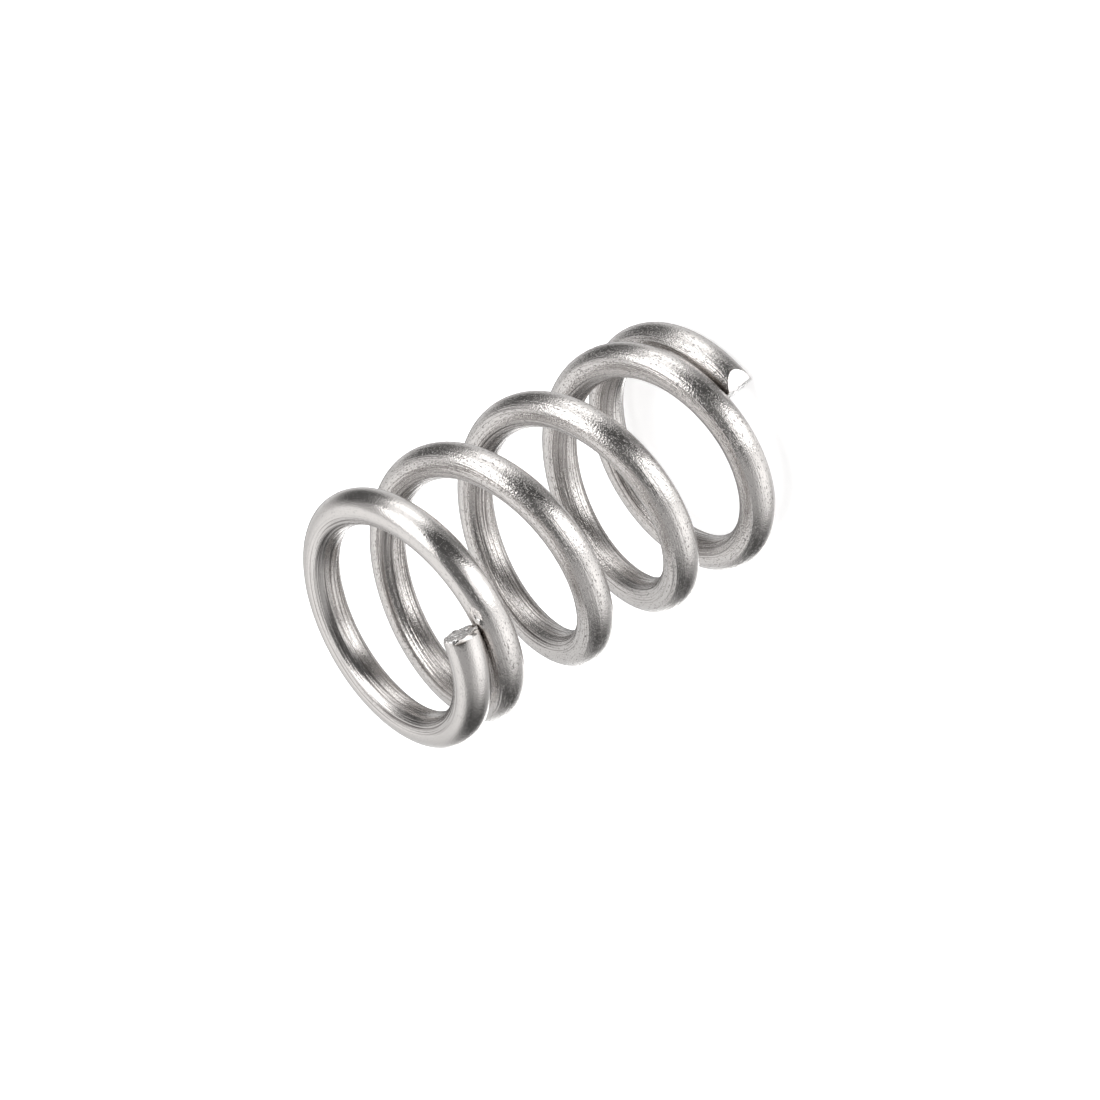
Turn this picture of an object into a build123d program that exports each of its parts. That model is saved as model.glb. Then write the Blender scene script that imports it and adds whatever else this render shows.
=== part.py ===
"""Small cylindrical compression spring, coiled right-handed from one length of round
stainless steel wire.

Both ends are closed and left unground: over the last coil the wire runs almost flat, until
its sheared tip lies against the neighbouring coil. Between the ends the wire climbs at an
even pitch, and each change of pitch is eased over part of a turn. Both tips are sheared square,
and a slanting facet takes the outer corner off the lower one.

The spring stands on one end. +Z runs up the coil axis, z = 0 is the seat plane under the
lower end, the origin is on the axis and +X points at the lower wire tip.
"""

import os
from math import ceil, cos, pi, sin

from build123d import *

# Driving sizes, in millimetres, turns and degrees
wire_diameter = 1.6
outer_diameter = 12.0
free_length = 20.0
total_coils = 4.91
closed_coils = 0.60  # turns at each end that keep the closed pitch
ramp_coils = 0.62  # turns over which the closed pitch opens to the active pitch
tip_gap = 0.04  # left between a wire tip and the coil that it closes on
facet_edge = 0.44  # from the wire's centre to the facet, on the lower tip's cut face
facet_lean = 30.0  # angle between the facet and the wire
facet_heading = 8.0  # which way the facet faces: degrees up from straight outwards
tip_coils = 0.125  # length of wire, from the lower tip, that is drawn and cut before the rest
station_angle = 20.0  # widest spacing along the coil of the points that carry the centreline

# Sizes that follow from them
wire_radius = wire_diameter / 2
coil_radius = (outer_diameter - wire_diameter) / 2
coil_girth = 2 * pi * coil_radius
total_rise = free_length - wire_diameter
tip_rise = wire_diameter + tip_gap
opening_turn = closed_coils
closing_turn = total_coils - closed_coils - ramp_coils


def eased_turns(turns):
    """Turns gained at the full extra pitch, once a ramp has started this many turns ago."""
    if turns <= 0:
        return 0.0
    if turns >= ramp_coils:
        return turns - ramp_coils / 2
    share = turns / ramp_coils
    return ramp_coils * (share**3 - share**4 / 2)


def open_turns(turn):
    """Turns gained at the full extra pitch from the lower tip up to this turn."""
    return eased_turns(turn - opening_turn) - eased_turns(turn - closing_turn)


# Two conditions set the pitches: one turn from a tip the wire has risen by one wire diameter
# and the gap, and at the other tip it has risen by the whole height between the tips.
extra_pitch = (total_rise - total_coils * tip_rise) / (
    open_turns(total_coils) - total_coils * open_turns(1)
)
closed_pitch = tip_rise - extra_pitch * open_turns(1)
active_pitch = closed_pitch + extra_pitch


def centre_point(turn):
    """Point on the wire's centreline, this many turns above the lower tip."""
    angle = 2 * pi * turn
    rise = closed_pitch * turn + extra_pitch * open_turns(turn)
    return Vector(
        coil_radius * cos(angle), coil_radius * sin(angle), wire_radius + rise
    )


def closed_direction(turn):
    """Direction of the centreline at a turn where the pitch is the closed one."""
    angle = 2 * pi * turn
    return Vector(
        -coil_girth * sin(angle), coil_girth * cos(angle), closed_pitch
    ).normalized()


def drawn_wire(section_radius, first_turn, last_turn):
    """A round section swept along the centreline between two turns of closed pitch."""
    spans = ceil((last_turn - first_turn) * 360 / station_angle)
    turns = [first_turn + (last_turn - first_turn) * step / spans for step in range(spans + 1)]
    start = Plane(origin=centre_point(first_turn), z_dir=closed_direction(first_turn))
    with BuildPart() as wire:
        with BuildLine() as centreline:
            Spline(
                *[centre_point(turn) for turn in turns],
                tangents=(closed_direction(first_turn), closed_direction(last_turn)),
                tangent_scalars=(1, 1),
            )
        with BuildSketch(start):
            Circle(section_radius)
        sweep(path=centreline.line, is_frenet=True)
    return wire.part


# The lower tip: a square cut face that looks back along the wire, with X outwards and Y up,
# and the facet that leans over its outer edge
lower_cut = Plane(origin=centre_point(0), x_dir=(1, 0, 0), z_dir=-closed_direction(0))
lower_facet = Plane(
    lower_cut.location
    * Rot(Z=facet_heading)
    * Pos(X=facet_edge)
    * Rot(Y=90 - facet_lean)
)
with BuildPart() as lower_tip:
    add(drawn_wire(wire_radius, 0, tip_coils))
    split(bisect_by=lower_facet, keep=Keep.BOTTOM)

# The whole spring: the rest of the wire runs on from the lower tip, up to the square cut
with BuildPart() as coil_spring:
    add(lower_tip.part)
    add(drawn_wire(wire_radius, tip_coils, total_coils))

coil_spring.part.label = "coil_spring"

os.makedirs("parts", exist_ok=True)
export_step(coil_spring.part, "parts/coil_spring.step")

print(f"closed pitch {closed_pitch:.3f} mm, active pitch {active_pitch:.3f} mm")
print(f"volume {coil_spring.part.volume:.2f} mm3")
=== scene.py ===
# %% [markdown]
# # A small compression spring, drawn wire and cut tips
#
# The spring is one length of stainless wire, coiled cold on a machine. Its ends are closed but not ground:
# the last part-turn at each end lies against the next coil, and the wire is simply sheared off. The packed
# CAD model holds the sizes; this script gives the same coil the surface that drawn, coiled and cut wire has.
# The frame is loaded first, because every size and place below is measured against it.

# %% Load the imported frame
from bisect import bisect_right
from math import atan2, ceil, cos, degrees, exp, hypot, pi, radians, sin, tan

import bmesh
import bpy
from mathutils import Matrix, Quaternion, Vector, noise


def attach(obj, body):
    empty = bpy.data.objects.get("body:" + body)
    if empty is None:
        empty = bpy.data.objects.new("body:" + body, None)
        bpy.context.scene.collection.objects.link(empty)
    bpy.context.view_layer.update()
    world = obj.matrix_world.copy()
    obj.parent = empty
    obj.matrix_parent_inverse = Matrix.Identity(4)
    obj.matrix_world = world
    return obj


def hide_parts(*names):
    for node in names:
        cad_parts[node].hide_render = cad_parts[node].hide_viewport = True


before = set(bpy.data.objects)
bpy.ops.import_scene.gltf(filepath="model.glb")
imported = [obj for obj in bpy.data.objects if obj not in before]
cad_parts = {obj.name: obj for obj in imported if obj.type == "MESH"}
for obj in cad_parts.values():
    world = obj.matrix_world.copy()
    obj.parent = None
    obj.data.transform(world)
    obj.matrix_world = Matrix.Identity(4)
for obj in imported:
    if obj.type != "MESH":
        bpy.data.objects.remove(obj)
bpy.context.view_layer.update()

MM = 0.001
MICRON = 0.001 * MM
scene = bpy.context.scene

# %% [markdown]
# ## The line the wire follows
#
# A helix with one pitch would not do: the closed ends rise by little more than the wire's thickness in a
# turn, and the working coils by more than three times that. The real wire goes from one to the other over
# a bit more than half a turn, as the pitch tool moves in. The rise of the line is therefore a straight
# part for the closed pitch, plus an eased part that starts after one closed end and stops before the other.
# The same few sizes drive the CAD model, so the two lines agree, and everything here is in millimetres
# until the last step that places it.

# %% Sizes of the coil, in millimetres
wire_radius = 0.8
coil_radius = 5.2
free_length = 20.0
total_coils = 4.91
closed_coils = 0.60
ramp_coils = 0.62
tip_gap = 0.04

coil_girth = 2 * pi * coil_radius
total_rise = free_length - 2 * wire_radius
tip_rise = 2 * wire_radius + tip_gap
opening_turn = closed_coils
closing_turn = total_coils - closed_coils - ramp_coils


# %% How far the pitch has opened at a turn
def eased_turns(turns):
    """Turns spent open after the pitch starts to open, with a soft start."""
    if turns <= 0:
        return 0.0
    if turns >= ramp_coils:
        return turns - ramp_coils / 2
    share = turns / ramp_coils
    return ramp_coils * (share**3 - share**4 / 2)


def eased_share(turns):
    """The slope of eased_turns: 0 while closed, 1 once open."""
    share = min(max(turns / ramp_coils, 0), 1)
    return share * share * (3 - 2 * share)


def open_turns(turn):
    return eased_turns(turn - opening_turn) - eased_turns(turn - closing_turn)


extra_pitch = (total_rise - total_coils * tip_rise) / (
    open_turns(total_coils) - total_coils * open_turns(1)
)
closed_pitch = tip_rise - extra_pitch * open_turns(1)
print("closed pitch %.3f mm, working pitch %.3f mm" % (closed_pitch, closed_pitch + extra_pitch))


# %% [markdown]
# ## A frame that travels along the wire
#
# To draw a round section along a line, each section needs a frame: where its centre is, and which way its
# own axes point. On a coil the natural choice is one axis straight out from the coil's axis and one up
# along it, tilted with the wire. Such a frame never twists, and it lets the finish tell the outside of
# a coil from the inside, where bending has pressed the wire's surface together.

# %% The section's frame at a turn
def centre_point(turn):
    angle = 2 * pi * turn
    rise = wire_radius + closed_pitch * turn + extra_pitch * open_turns(turn)
    return Vector((coil_radius * cos(angle), coil_radius * sin(angle), rise))


def section_frame(turn):
    """Local x points out from the coil, local y up, and the wire runs along minus z."""
    angle = 2 * pi * turn
    open_share = eased_share(turn - opening_turn) - eased_share(turn - closing_turn)
    climb = closed_pitch + extra_pitch * open_share
    outward = Vector((cos(angle), sin(angle), 0))
    along = Vector((-coil_girth * sin(angle), coil_girth * cos(angle), climb)).normalized()
    upward = outward.cross(along)
    turned = Matrix((outward, upward, -along)).transposed().to_4x4()
    return Matrix.Translation(centre_point(turn)) @ turned


# %% [markdown]
# ## Drawing the wire
#
# A curve with a round bevel would give a coil in one step, but neither its tips nor the fine relief of the
# drawn surface could be worked into it. This one is made as the real one is: a straight length is drawn
# first, its ends are cut, and only then is it coiled. So a circle is extruded once to a rod. Its length
# stands for the whole wire, and each station along it gets its true place when the wire is coiled.
#
# A sheared end is not flat, so a single face can't close it. Each rim is drawn in towards the middle in
# rings, close together at the rim, and the last ring is merged to one point.

# %% A straight rod with ringed ends
sides = 144
cut_rings = 24
ring_crowding = 1.4
wire = bmesh.new()
bmesh.ops.create_circle(wire, segments=sides, radius=wire_radius)
lower_rim = wire.edges[:]
made = bmesh.ops.extrude_edge_only(wire, edges=lower_rim)["geom"]
upper_ring = [item for item in made if isinstance(item, bmesh.types.BMVert)]
upper_rim = [item for item in made if isinstance(item, bmesh.types.BMEdge)]
bmesh.ops.translate(wire, vec=(0, 0, 1), verts=upper_ring)


def close_end(rim):
    """Draws rings in from a rim and merges the last one."""
    reach = 1.0
    for k in range(1, cut_rings + 1):
        made = bmesh.ops.extrude_edge_only(wire, edges=rim)["geom"]
        ring = [item for item in made if isinstance(item, bmesh.types.BMVert)]
        rim = [item for item in made if isinstance(item, bmesh.types.BMEdge)]
        wanted = 1 - (k / (cut_rings + 1)) ** ring_crowding
        bmesh.ops.scale(wire, vec=(wanted / reach, wanted / reach, 1), verts=ring)
        reach = wanted
    bmesh.ops.pointmerge(wire, verts=ring, merge_co=(0, 0, ring[0].co.z))


close_end(lower_rim)
close_end(upper_rim)
print("rod with closed ends:", len(wire.verts), "verts")

# %% [markdown]
# ## Where the wire is cut into stations
#
# A long straight rod has no points between its ends, so it needs stations before it can be bent. Equal ones
# everywhere would be simple, but they would waste faces on the plain coils and starve the details. So they
# stand 3 degrees apart along the coils, crowd together at both tips where the cuts are shaped, and are
# closest round the small nick that the blade left on the coil beside the upper tip.

# %% Stations along the wire
stations_per_turn = 120
tip_reach = 1.0
tip_stations = 16
tip_crowding = 1.5
turns_per_mm = 1 / hypot(coil_girth, closed_pitch)
tip_turns = tip_reach * turns_per_mm
close_turns = [tip_turns * (k / tip_stations) ** tip_crowding for k in range(tip_stations)]
nick_turn = 3.9194
nick_zone = 0.7
nick_station = 0.06
nick_turns = nick_zone * turns_per_mm
nick_spacing = nick_station * turns_per_mm


def even_stations(first, last, spacing):
    """Turns from first up to last, both included, evenly spaced and no further apart than asked."""
    count = ceil((last - first) / spacing)
    return [first + (last - first) * k / count for k in range(count + 1)]


station_turns = list(close_turns)
station_turns += even_stations(tip_turns, nick_turn - nick_turns, 1 / stations_per_turn)[:-1]
station_turns += even_stations(nick_turn - nick_turns, nick_turn + nick_turns, nick_spacing)[:-1]
station_turns += even_stations(nick_turn + nick_turns, total_coils - tip_turns, 1 / stations_per_turn)
station_turns += [total_coils - turn for turn in reversed(close_turns)]

station_places = [0.0]
for here, there in zip(station_turns, station_turns[1:]):
    stride = (centre_point(there) - centre_point(here)).length
    station_places.append(station_places[-1] + stride)
wire_length = station_places[-1]
print("wire length %.1f mm in %d stations" % (wire_length, len(station_turns)))

# %% Cut the rod into its stations
long_edges = [edge for edge in wire.edges if abs(edge.verts[0].co.z - edge.verts[1].co.z) > 0.5]
bmesh.ops.subdivide_edges(wire, edges=long_edges, cuts=len(station_turns) - 2)
print("rod with stations:", len(wire.verts), "verts")


# %% [markdown]
# ## The marks of the shear
#
# A shear leaves its story on the end of a wire. Where the blade enters it rolls the edge over and burnishes a
# narrow bright crescent; then the metal tears, and the rest of the face is dull and rough; and where the
# blade leaves, a small burr is dragged out. The lower tip was cut with the blade at a slant, which took off
# its outer side in one oblique facet. These marks are shaped on the rod's end, as a slide of each vertex
# along the wire and a small change of its radius, both worked out from where it sits in the section.

# %% Small helpers for shaping
def smooth_step(low, high, value):
    share = min(max((value - low) / (high - low), 0), 1)
    return share * share * (3 - 2 * share)


def bell(value, middle, width):
    return exp(-(((value - middle) / width) ** 2))


def turned_apart(angle, middle):
    """The angle between two directions in the section, in degrees."""
    return abs((angle - middle + 180) % 360 - 180)


def ragged(out, up, lumps_per_mm, layer):
    """The rough of a torn face, from about -1 to 1; each use reads a layer of its own."""
    return noise.noise(Vector((out * lumps_per_mm, up * lumps_per_mm, layer)))


def dragged_burr(heading, share, middle, length, spread, steepness):
    """A spike on the rim, as long as asked at its middle heading and gone a little inside the rim."""
    return length * bell(turned_apart(heading, middle), 0, spread) * share**steepness


# %% The lower tip: an oblique facet, a torn face and a burr
facet_heading = 8.0
facet_edge = 0.44
facet_lean = 30.0
facet_blend = 0.05
facet_slope = 1 / tan(radians(facet_lean))
lower_coarse_tear = 0.030
lower_fine_tear = 0.016
lower_burr_heading = -46.0
lower_burr_length = 0.10
lower_burr_spread = 9.0
lower_burr_steepness = 14


def lower_tip_slide(out, up):
    """How far the lower tip's surface lies further along the wire than the plain end."""
    heading = degrees(atan2(up, out))
    toward_facet = out * cos(radians(facet_heading)) + up * sin(radians(facet_heading))
    share = hypot(out, up) / wire_radius
    facet = max(0, toward_facet - facet_edge) * facet_slope
    off_facet = smooth_step(facet_edge + facet_blend, facet_edge - facet_blend, toward_facet)
    tear = lower_coarse_tear * ragged(out, up, 6, 3) + lower_fine_tear * ragged(out, up, 16, 9)
    burr = dragged_burr(
        heading, share, lower_burr_heading, lower_burr_length, lower_burr_spread, lower_burr_steepness
    )
    return facet + tear * off_facet - burr


# %% The upper tip: where the blade burnished its crescent
crescent_heading = 0.0
crescent_width = 0.24
crescent_reach = 64.0
crescent_bluntness = 0.6
crescent_blend = 0.04


def crescent_share(out, up):
    """1 on the burnished crescent of the upper tip, 0 on the torn face."""
    heading = degrees(atan2(up, out))
    from_rim = wire_radius - hypot(out, up)
    apart = min(turned_apart(heading, crescent_heading) / crescent_reach, 1) * 90
    width = crescent_width * cos(radians(apart)) ** crescent_bluntness
    return smooth_step(width + crescent_blend, max(width - crescent_blend, 0), from_rim)


def burnished(out, up, from_upper):
    return from_upper < tip_reach and crescent_share(out, up) > 0.5


# %% The upper tip: the torn face and its two burrs
crescent_depth = 0.14
face_tilt = 0.05
upper_coarse_tear = 0.07
upper_fine_tear = 0.035
plain_rim = 0.06
upper_burr_heading = 95.0
upper_burr_length = 0.19
upper_burr_spread = 15.0
upper_burr_steepness = 12
small_burr_heading = -165.0
small_burr_length = 0.07
small_burr_spread = 8.0
small_burr_steepness = 16


def upper_tip_slide(out, up):
    """How far the upper tip's surface lies further along the wire than the plain end."""
    heading = degrees(atan2(up, out))
    share = hypot(out, up) / wire_radius
    from_rim = wire_radius * (1 - share)
    rubbed = crescent_share(out, up)
    toward_crescent = out * cos(radians(crescent_heading)) + up * sin(radians(crescent_heading))
    tilt = face_tilt * (1 + toward_crescent / wire_radius)
    shelf = crescent_depth * rubbed * (1 - min(from_rim / crescent_width, 1))
    tear = upper_coarse_tear * ragged(out, up, 2.6, 27) + upper_fine_tear * ragged(out, up, 7, 33)
    burr = dragged_burr(
        heading, share, upper_burr_heading, upper_burr_length, upper_burr_spread, upper_burr_steepness
    )
    burr += dragged_burr(
        heading, share, small_burr_heading, small_burr_length, small_burr_spread, small_burr_steepness
    )
    return tilt - shelf + tear * (1 - rubbed) * smooth_step(0, plain_rim, from_rim) + burr


# %% [markdown]
# ## The relief of the drawn surface
#
# The die scores the wire lengthwise, so its lines run with the wire for many millimetres. Coiling changes
# them: on the inside of the coil the metal is squeezed and the lines deepen, and on the outside the
# coiling tool has rubbed them down. Lines wide enough to catch the light one by one are true relief, about
# a hundredth of a millimetre deep. The finer ones and the grain come later, in the material, because a bump
# gives what only the light shows without any more faces.

# %% Relief at a place on the wire
inner_line_depth = 0.014
outer_line_depth = 0.002
squeeze_starts = 0.40 * wire_radius
squeeze_full = -0.65 * wire_radius
narrow_line_share = 0.6
waviness = 0.002


def relief(out, up, place):
    """How far the wire's surface stands proud, in millimetres."""
    squeezed = smooth_step(squeeze_starts, squeeze_full, out)
    depth = outer_line_depth + (inner_line_depth - outer_line_depth) * squeezed
    wide = noise.noise(Vector((out * 5.5, up * 5.5, place * 0.05)))
    narrow = noise.noise(Vector((out * 11 + 40, up * 11, place * 0.09)))
    slow = noise.noise(Vector((out * 1.3 + 80, up * 1.3, place * 0.55)))
    return depth * (wide + narrow_line_share * narrow) + waviness * slow


# %% [markdown]
# ## The small marks beside the cuts
#
# A spring like this is cut off once it is coiled, and the blade leaves small marks: it rolls the rim over as
# it enters, nicks the coil that lies beside the tip, and leaves a short crack at the lower tip. A boolean cut
# would make them sharp and hard to place, so each one is a soft bell on the rod's side, set by its heading in
# the section and its place along the wire. The crack is too fine to model, so its shade is painted dark.
# Painted shade also darkens the colour under the rolled edge, down the nick's far side and in the two narrow
# gaps beside the tips, where the coils nearly touch.

# %% The rolled edge of the upper tip
rolled_heading = 42.0
rolled_spread = 22.0
rolled_depth = 0.05
rolled_fade = 0.10
rolled_reach = 1.0


def rolled_over(out, up, place):
    """How far the blade has pressed the side in just below the burnished crescent."""
    from_cut = wire_length - place
    if from_cut > rolled_reach:
        return 0.0
    heading = degrees(atan2(up, out))
    pressed = rolled_depth * bell(turned_apart(heading, rolled_heading), 0, rolled_spread)
    return pressed * exp(-max(from_cut, 0) / rolled_fade)


# %% The nick on the coil beside the upper tip
nick_place = wire_length - (total_coils - nick_turn) / turns_per_mm
nick_heading = 68.0
nick_slant = 18.0
nick_depth = 0.165
nick_length = 0.30
nick_width = 0.16


def nicked(out, up, place):
    """How deep the blade has marked the coil beside the tip: a lip pushed up, then a dent."""
    if abs(place - nick_place) > 3 * nick_length:
        return 0.0
    across = radians(degrees(atan2(up, out)) - nick_heading) * wire_radius
    along = (place - nick_place) * cos(radians(nick_slant)) - across * sin(radians(nick_slant))
    return nick_depth * along / nick_length * bell(along, 0, nick_length) * bell(across, 0, nick_width)


# %% Where the marks get painted shade
edge_line_spread = 20.0
edge_line_place = 0.06
edge_line_width = 0.05
nick_shadow_heading = 91.0
nick_shadow_spread = 7.0
crack_heading = -108.0
crack_spread = 16.0
crack_length = 0.10
crack_rim = (0.80, 0.92)


def shade_of_marks(out, up, place):
    """Painted shade: 1 under the rolled edge, down the nick's far side and in the lower tip's crack, 0
    elsewhere.
    """
    heading = degrees(atan2(up, out))
    under_edge = bell(turned_apart(heading, rolled_heading), 0, edge_line_spread)
    under_edge *= bell(wire_length - place, edge_line_place, edge_line_width)
    beside_nick = bell(turned_apart(heading, nick_shadow_heading), 0, nick_shadow_spread)
    beside_nick *= bell(place, nick_place, nick_length)
    at_rim = smooth_step(*crack_rim, hypot(out, up) / wire_radius)
    cracked = bell(turned_apart(heading, crack_heading), 0, crack_spread)
    cracked *= bell(place, 0, crack_length)
    cracked *= at_rim
    return max(under_edge, beside_nick, cracked)


# %% Where the closed ends lie against the next coil
# The shade in this narrow gap is painted into the colour, through the painted shade attribute.
crevice_wide = 0.34
crevice_narrow = 0.03
far_off = 10.0


def crevice(point, turn):
    """Painted shade: 1 where a neighbouring coil almost touches, 0 where the coils stand well apart."""
    nearest = far_off
    for beside in (turn - 1, turn + 1):
        if 0 <= beside <= total_coils:
            nearest = min(nearest, (point - centre_point(beside)).length - wire_radius)
    return smooth_step(crevice_wide, crevice_narrow, nearest)


# %% [markdown]
# ## Coiling the rod
#
# A Curve modifier would bend the rod along a helix, but it lets the sections twist and keeps no record of
# where on the wire a point came from. So the rod's vertices are carried over one by one: each is slid along
# the wire by the shape of its cut, pushed in or out by the relief, and set in the travelling frame of its
# turn. Its place on the straight wire is kept in attributes, which the finish reads later.

# %% From a place on the wire to a turn of the coil
def turn_at(place):
    """The turn at a distance along the wire; the tips carry on at the closed pitch."""
    if place <= 0:
        return place * turns_per_mm
    if place >= wire_length:
        return total_coils + (place - wire_length) * turns_per_mm
    k = bisect_right(station_places, place) - 1
    share = (place - station_places[k]) / (station_places[k + 1] - station_places[k])
    return station_turns[k] + share * (station_turns[k + 1] - station_turns[k])


# %% Shape and coil the rod
tip_zone = 2.2
side_starts = 0.999 * wire_radius
open_fade = 4.0
# How dark the painted shade under the marks beside the cuts is.
mark_shade_strength = 0.9

on_wire = wire.verts.layers.float_vector.new("on_wire")
torn = wire.verts.layers.float.new("torn")
# This attribute holds painted shade: how far the colour is darkened in the gaps beside the tips and under the
# marks beside the cuts.
painted_shade = wire.verts.layers.float.new("painted_shade")
open_coil = wire.verts.layers.float.new("open_coil")
last_coil_place = wire_length - 1 / turns_per_mm
last_station = len(station_turns) - 1

for vert in wire.verts:
    out, up = vert.co.x, vert.co.y
    place = station_places[round(vert.co.z * last_station)]
    from_upper = wire_length - place
    if place < tip_zone:
        place += lower_tip_slide(out, up) * (1 - place / tip_zone)
    if from_upper < tip_zone:
        place += upper_tip_slide(out, up) * (1 - from_upper / tip_zone)
    on_side = hypot(out, up) > side_starts
    vert[torn] = 0.0 if on_side or burnished(out, up, from_upper) else 1.0
    vert[on_wire] = (out, up, place)
    vert[open_coil] = smooth_step(last_coil_place + open_fade, last_coil_place - open_fade, place)
    proud = relief(out, up, place) - nicked(out, up, place) - rolled_over(out, up, place)
    grown = 1 + proud / wire_radius if on_side else 1
    turn = turn_at(place)
    point = section_frame(turn) @ Vector((out * grown, up * grown, 0))
    # The stronger of the two painted shades: the gap between coils, and the marks beside the cuts.
    vert[painted_shade] = max(crevice(point, turn), mark_shade_strength * shade_of_marks(out, up, place))
    vert.co = point * MM

bmesh.ops.recalc_face_normals(wire, faces=wire.faces)
for face in wire.faces:
    face.smooth = True
    face.material_index = int(sum(vert[torn] for vert in face.verts) > 0.5 * len(face.verts))

# %% Make the object
spring_mesh = bpy.data.meshes.new("spring_wire_coil")
wire.to_mesh(spring_mesh)
wire.free()
spring = bpy.data.objects.new("spring_wire_coil", spring_mesh)
scene.collection.objects.link(spring)
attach(spring, "root")
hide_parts("coil_spring")
print("triangles:", sum(len(polygon.vertices) - 2 for polygon in spring_mesh.polygons))


# %% [markdown]
# ## Steel that was drawn, coiled and cut
#
# Bright stainless wire is a mirror that has been scored. Its colour barely changes; what the eye reads is
# how the reflections break up. Three effects do that, each a node group with its size in millimetres:
# die lines along the wire, a pebbled grain from the coating and pickling, and scattered pits that hold a
# little dirt. They read on_wire, so they run round the coil with the metal. The bump heights are in
# thousandths of a millimetre.

# %% Node helpers
def math_node(tree, operation, *values, clamp=False):
    """A math node with numbers or links on its inputs; returns its output."""
    node = tree.nodes.new("ShaderNodeMath")
    node.operation = operation
    node.use_clamp = clamp
    for socket, value in zip(node.inputs, values):
        if isinstance(value, (int, float)):
            socket.default_value = value
        else:
            tree.links.new(value, socket)
    return node.outputs[0]


def scaled(tree, value, factor):
    """One value times another; either may be a number or a link."""
    return math_node(tree, "MULTIPLY", value, factor)


def added(tree, first, second):
    return math_node(tree, "ADD", first, second)


def new_group(name, inputs, outputs):
    """A shader node group with a vector and numbers going in, and numbers coming out."""
    tree = bpy.data.node_groups.new(name, "ShaderNodeTree")
    for socket_name, kind, value in inputs:
        socket = tree.interface.new_socket(socket_name, in_out="INPUT", socket_type="NodeSocket" + kind)
        if value is not None:
            socket.default_value = value
    for socket_name in outputs:
        tree.interface.new_socket(socket_name, in_out="OUTPUT", socket_type="NodeSocketFloat")
    return tree, tree.nodes.new("NodeGroupInput").outputs, tree.nodes.new("NodeGroupOutput").inputs


def noise_node(tree, place, detail, roughness):
    """Noise at one pattern per unit of place; returns its value."""
    node = tree.nodes.new("ShaderNodeTexNoise")
    node.inputs["Scale"].default_value = 1.0
    node.inputs["Detail"].default_value = detail
    node.inputs["Roughness"].default_value = roughness
    tree.links.new(place, node.inputs["Vector"])
    return node.outputs["Fac"]


def range_node(tree, value, low, high, out_low=0.0, out_high=1.0):
    """A smooth ramp from one range to another."""
    node = tree.nodes.new("ShaderNodeMapRange")
    node.interpolation_type = "SMOOTHSTEP"
    tree.links.new(value, node.inputs["Value"])
    limits = {"From Min": low, "From Max": high, "To Min": out_low, "To Max": out_high}
    for socket_name, number in limits.items():
        if isinstance(number, (int, float)):
            node.inputs[socket_name].default_value = number
        else:
            tree.links.new(number, node.inputs[socket_name])
    return node.outputs["Result"]


def divided(tree, place, across, along):
    """The place measured in pattern widths across the wire and pattern lengths along it."""
    sizes = tree.nodes.new("ShaderNodeCombineXYZ")
    for socket, size in zip(sizes.inputs, (across, across, along)):
        tree.links.new(size, socket)
    node = tree.nodes.new("ShaderNodeVectorMath")
    node.operation = "DIVIDE"
    tree.links.new(place, node.inputs[0])
    tree.links.new(sizes.outputs[0], node.inputs[1])
    return node.outputs[0]


# %% Die lines
groove_starts = 0.46
groove_bottom = 0.30
tree, given, result = new_group(
    "die_lines",
    (("Place", "Vector", None), ("Width mm", "Float", 0.1), ("Length mm", "Float", 8.0)),
    ("Height", "Grooves"),
)
lines = noise_node(tree, divided(tree, given["Place"], given["Width mm"], given["Length mm"]), 1.0, 0.5)
centred = math_node(tree, "SUBTRACT", lines, 0.5)
tree.links.new(scaled(tree, centred, 2.0), result["Height"])
tree.links.new(range_node(tree, lines, groove_starts, groove_bottom), result["Grooves"])
die_lines = tree

# %% Pebbled grain and its pits
pit_width = 1.3
pit_stretch = 2.0
pit_edge = 0.08
tree, given, result = new_group(
    "pebbled_grain",
    (
        ("Place", "Vector", None), ("Size mm", "Float", 0.05),
        ("Stretch", "Float", 1.6), ("Pit Share", "Float", 0.35),
    ),
    ("Height", "Pits"),
)
stretched = scaled(tree, given["Size mm"], given["Stretch"])
grain = noise_node(tree, divided(tree, given["Place"], given["Size mm"], stretched), 1.0, 0.5)
centred = math_node(tree, "SUBTRACT", grain, 0.5)
tree.links.new(scaled(tree, centred, 2.0), result["Height"])
wide = scaled(tree, given["Size mm"], pit_width)
wide_long = scaled(tree, stretched, pit_stretch)
spots = noise_node(tree, divided(tree, given["Place"], wide, wide_long), 3.0, 0.65)
deepest = math_node(tree, "SUBTRACT", given["Pit Share"], pit_edge)
tree.links.new(range_node(tree, spots, given["Pit Share"], deepest), result["Pits"])
pebbled_grain = tree


# %% Placing the groups in a material
def placed(tree, group, place, **settings):
    """A group node reading a place, with its own settings; returns its outputs."""
    node = tree.nodes.new("ShaderNodeGroup")
    node.node_tree = group
    tree.links.new(place, node.inputs["Place"])
    for name, value in settings.items():
        node.inputs[name.replace("_", " ")].default_value = value
    return node.outputs


def bumped(tree, height):
    """A bump whose height is in thousandths of a millimetre; returns the normal."""
    node = tree.nodes.new("ShaderNodeBump")
    node.inputs["Strength"].default_value = 1.0
    node.inputs["Distance"].default_value = MICRON
    tree.links.new(height, node.inputs["Height"])
    return node.outputs["Normal"]


def attribute_node(tree, name):
    node = tree.nodes.new("ShaderNodeAttribute")
    node.attribute_name = name
    return node.outputs


def colour_mix(tree, factor, first, second):
    """A mix of two plain colours by a mask."""
    node = tree.nodes.new("ShaderNodeMix")
    node.data_type = "RGBA"
    tree.links.new(factor, node.inputs["Factor"])
    node.inputs["A"].default_value = (*first, 1)
    node.inputs["B"].default_value = (*second, 1)
    return node.outputs["Result"]


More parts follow.
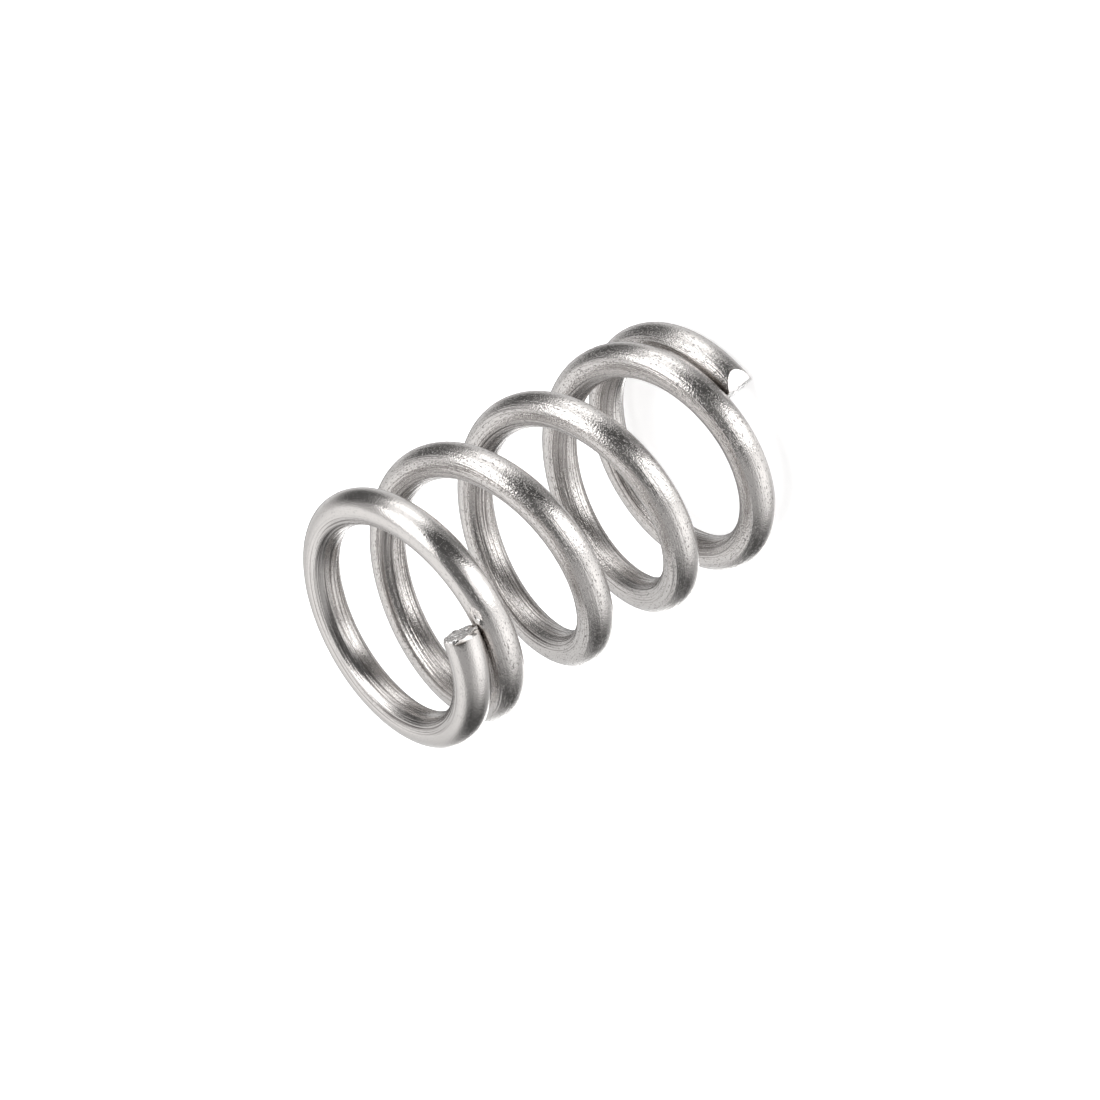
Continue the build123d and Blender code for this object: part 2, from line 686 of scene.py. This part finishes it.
# This dark brown is painted shade, laid into the colour where shade falls: in the narrow gaps beside the tips
# and under the marks beside the cuts.
painted_shade_colour = (0.20, 0.165, 0.14)


def with_painted_shade(tree, clean):
    """The given colour, darkened by the painted_shade attribute, which holds painted shade in the gaps beside
    the tips and under the marks beside the cuts.
    """
    node = tree.nodes.new("ShaderNodeMix")
    node.data_type = "RGBA"
    tree.links.new(attribute_node(tree, "painted_shade")["Fac"], node.inputs["Factor"])
    tree.links.new(clean, node.inputs["A"])
    node.inputs["B"].default_value = (*painted_shade_colour, 1)
    return node.outputs["Result"]


# %% [markdown]
# ## The drawn surface
#
# One side of the wire ran hard against the die and the coiling tool, and its lines show; the opposite side is
# smoother. A mask that follows a heading in the section tells them apart. The open coils are more pebbled
# than the last one, which the tool has rubbed, so a second mask runs along the wire. An image texture could
# hold all this, but masks built from the attributes stay sharp at any distance and need no unwrapping.

# %% The drawn surface: where it is squeezed, where it is open
line_heading = 120.0
drawn = bpy.data.materials.new("drawn_steel")
drawn.use_nodes = True
tree = drawn.node_tree
shader = tree.nodes["Principled BSDF"]
place = attribute_node(tree, "on_wire")["Vector"]
split = tree.nodes.new("ShaderNodeSeparateXYZ")
tree.links.new(place, split.inputs[0])
toward_lines = math_node(
    tree, "SUBTRACT",
    scaled(tree, split.outputs["Y"], sin(radians(line_heading)) / wire_radius),
    scaled(tree, split.outputs["X"], -cos(radians(line_heading)) / wire_radius),
)
squeezed = range_node(tree, toward_lines, -0.37, -0.10)
inner_side = range_node(tree, split.outputs["X"], 0.1, -0.3)
open_share = attribute_node(tree, "open_coil")["Fac"]

broad = placed(tree, die_lines, place, Width_mm=0.11, Length_mm=9.0)
fine = placed(tree, die_lines, place, Width_mm=0.055, Length_mm=4.0)
grain = placed(tree, pebbled_grain, place, Size_mm=0.052, Stretch=1.3, Pit_Share=0.42)
mottle = placed(tree, pebbled_grain, place, Size_mm=0.20, Stretch=2.5, Pit_Share=0.36)

# %% The drawn surface: its relief, in thousandths of a millimetre
broad_line_height = 15.0
fine_line_height = 7.0
outer_line_share = 0.85
rubbed_grain = 4.0
open_grain = 7.0
rubbed_pits = -2.0
open_pits = -8.0

line_share = scaled(
    tree, squeezed, math_node(tree, "MAXIMUM", scaled(tree, open_share, outer_line_share), inner_side)
)
broad_height = scaled(tree, broad["Height"], broad_line_height)
fine_height = scaled(tree, fine["Height"], fine_line_height)
line_height = scaled(tree, added(tree, broad_height, fine_height), line_share)
grain_depth = range_node(tree, open_share, 0.0, 1.0, rubbed_grain, open_grain)
grain_height = added(tree, scaled(tree, grain["Height"], grain_depth), mottle["Height"])
pit_depth = range_node(tree, open_share, 0.0, 1.0, rubbed_pits, open_pits)
pit_height = scaled(tree, grain["Pits"], pit_depth)
height = added(tree, added(tree, line_height, grain_height), pit_height)
tree.links.new(bumped(tree, height), shader.inputs["Normal"])

# %% The drawn surface: its colour and its polish
steel_colour = (0.63, 0.605, 0.588)
pit_colour = (0.13, 0.115, 0.11)
broad_groove_dirt = 0.65
fine_groove_dirt = 0.55
rubbed_pit_dirt = 0.20
open_pit_dirt = 0.65
dirt_roughness = 0.12

broad_dirt = scaled(tree, broad["Grooves"], broad_groove_dirt)
fine_dirt = scaled(tree, fine["Grooves"], fine_groove_dirt)
groove_share = scaled(tree, added(tree, broad_dirt, fine_dirt), scaled(tree, squeezed, inner_side))
pit_dirt_share = range_node(tree, open_share, 0.0, 1.0, rubbed_pit_dirt, open_pit_dirt)
pit_dirt = scaled(tree, grain["Pits"], pit_dirt_share)
darker = math_node(tree, "MAXIMUM", groove_share, pit_dirt, clamp=True)
speckled = colour_mix(tree, darker, steel_colour, pit_colour)
tree.links.new(with_painted_shade(tree, speckled), shader.inputs["Base Color"])
polish = range_node(tree, mottle["Height"], -0.4, 0.4, 0.09, 0.15)
satin = range_node(tree, open_share, 0.0, 1.0, 0.02, 0.0)
dirt_satin = scaled(tree, darker, dirt_roughness)
tree.links.new(added(tree, added(tree, polish, satin), dirt_satin), shader.inputs["Roughness"])
shader.inputs["Metallic"].default_value = 1.0
spring_mesh.materials.append(drawn)

# %% [markdown]
# ## The torn faces of the cuts
#
# Where the metal tore, it is clean and bright but broken into small facets, each of which catches the light
# in its own direction. A plain rough metal would look evenly grey. The same grain group gives the facets when
# its size is a few tenths of a millimetre, and again, much finer, the crumbs between them.

# %% The torn faces of the cuts
tear_colour = (0.92, 0.905, 0.895)
# The hollows between the facets are painted darker: painted shade in the recesses, not a colour of the torn
# steel.
hollow_shade_colour = (0.50, 0.48, 0.465)
facet_height = 45.0
crumb_height = 5.0

sheared = bpy.data.materials.new("sheared_steel")
sheared.use_nodes = True
tree = sheared.node_tree
shader = tree.nodes["Principled BSDF"]
place = attribute_node(tree, "on_wire")["Vector"]
facets = placed(tree, pebbled_grain, place, Size_mm=0.22, Stretch=1.0, Pit_Share=0.34)
crumbs = placed(tree, pebbled_grain, place, Size_mm=0.03, Stretch=1.0, Pit_Share=0.38)
height = added(
    tree, scaled(tree, facets["Height"], facet_height), scaled(tree, crumbs["Height"], crumb_height)
)
tree.links.new(bumped(tree, height), shader.inputs["Normal"])
# The facets' pits mask mixes painted shade into the hollows of the torn face.
tear_colour_and_hollow_shade = colour_mix(tree, facets["Pits"], tear_colour, hollow_shade_colour)
tree.links.new(with_painted_shade(tree, tear_colour_and_hollow_shade), shader.inputs["Base Color"])
tree.links.new(range_node(tree, facets["Height"], -0.4, 0.4, 0.20, 0.34), shader.inputs["Roughness"])
shader.inputs["Metallic"].default_value = 1.0
spring_mesh.materials.append(sheared)

# %% [markdown]
# ## The floor
#
# The spring stands on a wide pale disc. The disc gives off a little light of its own, so that it stays as
# white as the ground behind it. It is hidden from reflections, because a mirror-like wire would otherwise
# show it from below as one flat sheet and lose its form.

# %% A pale floor under the seat
floor_radius = 6.0
floor_grey = 0.9
floor_glow = 0.55
floor_mesh = bpy.data.meshes.new("floor")
floor_work = bmesh.new()
bmesh.ops.create_circle(floor_work, cap_ends=True, segments=96, radius=floor_radius)
floor_work.to_mesh(floor_mesh)
floor_work.free()
floor = bpy.data.objects.new("floor", floor_mesh)
scene.collection.objects.link(floor)
floor.visible_glossy = False

pale = bpy.data.materials.new("pale_floor")
pale.use_nodes = True
pale_shader = pale.node_tree.nodes["Principled BSDF"]
pale_shader.inputs["Base Color"].default_value = (floor_grey, floor_grey, floor_grey, 1)
pale_shader.inputs["Roughness"].default_value = 0.9
pale_shader.inputs["Specular IOR Level"].default_value = 0.0
pale_shader.inputs["Emission Color"].default_value = (1, 1, 1, 1)
pale_shader.inputs["Emission Strength"].default_value = floor_glow
floor_mesh.materials.append(pale)
print("floor: a disc of radius", floor_radius, "m")


# %% [markdown]
# ## The studio
#
# Bright wire has hardly any colour of its own: it shows the room. Area lamps would do for that, but each one
# adds noise and has to be aimed. Here the room is painted on the sky instead, as soft-edged panels set by
# heading and height in degrees: bright ones for softboxes, and dark ones for the black cards that are hung
# between them to give the metal its dark bands. Later panels are laid over earlier ones. The camera itself
# sees plain white.

# %% A softbox as a patch of sky
softbox, given, result = new_group(
    "softbox",
    (
        ("Heading", "Float", 0.0), ("Height", "Float", 0.0),
        ("Centre", "Float", 0.0), ("Full Width", "Float", 10.0),
        ("Faded Width", "Float", 20.0), ("Middle", "Float", 0.0),
        ("Full Height", "Float", 10.0), ("Faded Height", "Float", 20.0),
    ),
    ("Mask",),
)
turned = math_node(softbox, "SUBTRACT", given["Heading"], given["Centre"])
sideways = math_node(softbox, "PINGPONG", turned, 180.0)
raised = math_node(softbox, "SUBTRACT", given["Height"], given["Middle"])
upright = math_node(softbox, "ABSOLUTE", raised)
across = range_node(softbox, sideways, given["Faded Width"], given["Full Width"])
upward = range_node(softbox, upright, given["Faded Height"], given["Full Height"])
softbox.links.new(scaled(softbox, across, upward), result["Mask"])

# %% Heading and height of the sky, in degrees
world = bpy.data.worlds.new("studio")
scene.world = world
world.use_nodes = True
sky = world.node_tree
sky.nodes.clear()
direction = sky.nodes.new("ShaderNodeTexCoord").outputs["Generated"]
parts = sky.nodes.new("ShaderNodeSeparateXYZ")
sky.links.new(direction, parts.inputs[0])
heading = scaled(sky, math_node(sky, "ARCTAN2", parts.outputs["Y"], parts.outputs["X"]), 180 / pi)
height = scaled(sky, math_node(sky, "ARCSINE", parts.outputs["Z"]), 180 / pi)

# %% The panels of the studio
# name: (brightness, heading, half width, middle height, half height, softness)
studio_panels = {
    "tent": (0.52, -87, 50, 45, 60, 16),
    "back wall": (0.80, 163, 42, 10, 34, 14),
    "back wall top": (1.20, 175, 48, 64, 36, 14),
    "low back fill": (0.98, 176, 42, -40, 34, 12),
    "dark card behind": (0.22, 164, 15, -32, 20, 8),
    "card behind the tip": (2.60, 194, 10, -33, 17, 5),
    "low left fill": (0.80, 98, 34, -50, 18, 10),
    "low front fill": (0.26, 46, 28, -66, 22, 10),
    "side glow": (0.88, -74, 24, 6, 14, 10),
    "side box": (1.25, -70, 34, -36, 34, 11),
    "side box core": (1.65, -68, 15, -27, 20, 10),
    "low side fill": (0.66, -129, 24, -48, 18, 10),
    "bounce from below": (1.20, -107, 75, -84, 16, 8),
    "dark flag behind": (0.10, -135, 21, 2, 36, 16),
    "dark flag left": (0.12, 106, 21, 1, 31, 14),
    "dark flag over the camera": (0.17, -17, 45, 62, 36, 10),
    "dark flag by the camera": (0.10, 18, 17, 0, 42, 5),
    "main box": (1.45, 57, 17, 8, 24, 6),
    "main box foot": (2.30, 61, 15, -18, 14, 6),
    "main box heel": (1.30, 72, 17, -40, 10, 8),
    "main box top": (3.20, 62, 24, 55, 23, 5),
    "main box top end": (2.40, 88, 12, 64, 15, 6),
    "low core foot": (1.40, -15, 22, -66, 12, 8),
    "low core": (3.20, -21, 16, -27, 28, 5),
    "low core top": (1.80, -25, 12, 10, 13, 8),
}
bare_sky = 0.55
glow = None
for name, (brightness, centre, half_width, middle, half_height, softness) in studio_panels.items():
    panel = sky.nodes.new("ShaderNodeGroup")
    panel.node_tree = softbox
    panel.label = name
    sky.links.new(heading, panel.inputs["Heading"])
    sky.links.new(height, panel.inputs["Height"])
    panel.inputs["Centre"].default_value = centre
    panel.inputs["Full Width"].default_value = half_width - softness
    panel.inputs["Faded Width"].default_value = half_width + softness
    panel.inputs["Middle"].default_value = middle
    panel.inputs["Full Height"].default_value = half_height - softness
    panel.inputs["Faded Height"].default_value = half_height + softness
    mix = sky.nodes.new("ShaderNodeMix")
    mix.data_type = "FLOAT"
    sky.links.new(panel.outputs["Mask"], mix.inputs["Factor"])
    if glow is None:
        mix.inputs["A"].default_value = bare_sky
    else:
        sky.links.new(glow, mix.inputs["A"])
    mix.inputs["B"].default_value = brightness
    glow = mix.outputs["Result"]
print("studio panels:", len(studio_panels))

# %% What the camera sees of the sky
seen = sky.nodes.new("ShaderNodeLightPath").outputs["Is Camera Ray"]
shown = sky.nodes.new("ShaderNodeMix")
shown.data_type = "FLOAT"
shown.inputs["B"].default_value = 1.0
sky.links.new(seen, shown.inputs["Factor"])
sky.links.new(glow, shown.inputs["A"])
background = sky.nodes.new("ShaderNodeBackground")
sky.links.new(shown.outputs["Result"], background.inputs["Strength"])
background.inputs["Color"].default_value = (1, 1, 1, 1)
world_out = sky.nodes.new("ShaderNodeOutputWorld")
sky.links.new(background.outputs[0], world_out.inputs["Surface"])

# %% An overhead softbox for the floor
lamp_size = 0.6
lamp_watts = 3.0
lamp_height = 0.7
lamp = bpy.data.lights.new("overhead", "AREA")
lamp.shape = "SQUARE"
lamp.size = lamp_size
lamp.energy = lamp_watts
overhead = bpy.data.objects.new("overhead", lamp)
overhead.location = (0, 0, lamp_height)
overhead.visible_glossy = False
overhead.visible_camera = False
scene.collection.objects.link(overhead)

# %% [markdown]
# ## The camera
#
# The spring stands up here but is looked at as if it lay on its side, so the camera is rolled by more than a
# right angle. It looks from a heading and a height at the middle of the spring, from about thirteen coil
# diameters away: close enough for the near coils to look larger than the far ones.

# %% The camera
camera_turn = 79.55
camera_height = 31.9
camera_roll = 121.2
camera_distance = 152.95 * MM
camera_lens = 113.5
aim_right = 0.22 * MM
aim_down = 0.85 * MM

sight = Vector((
    sin(radians(camera_turn)) * cos(radians(camera_height)),
    -cos(radians(camera_turn)) * cos(radians(camera_height)),
    sin(radians(camera_height)),
))
aimed = (-sight).to_track_quat("-Z", "Y") @ Quaternion((0, 0, 1), radians(-camera_roll))
camera_data = bpy.data.cameras.new("camera")
camera_data.sensor_width = 36
camera_data.lens = camera_lens
camera_data.clip_start = 0.005
camera_data.clip_end = 50
camera = bpy.data.objects.new("camera", camera_data)
scene.collection.objects.link(camera)
middle = Vector((0, 0, free_length / 2 * MM))
right = aimed @ Vector((1, 0, 0))
up = aimed @ Vector((0, 1, 0))
camera.location = middle + right * aim_right - up * aim_down + sight * camera_distance
camera.rotation_mode = "QUATERNION"
camera.rotation_quaternion = aimed
scene.camera = camera
scene.view_settings.view_transform = "Standard"
print("camera at, mm:", [round(value / MM, 1) for value in camera.location])
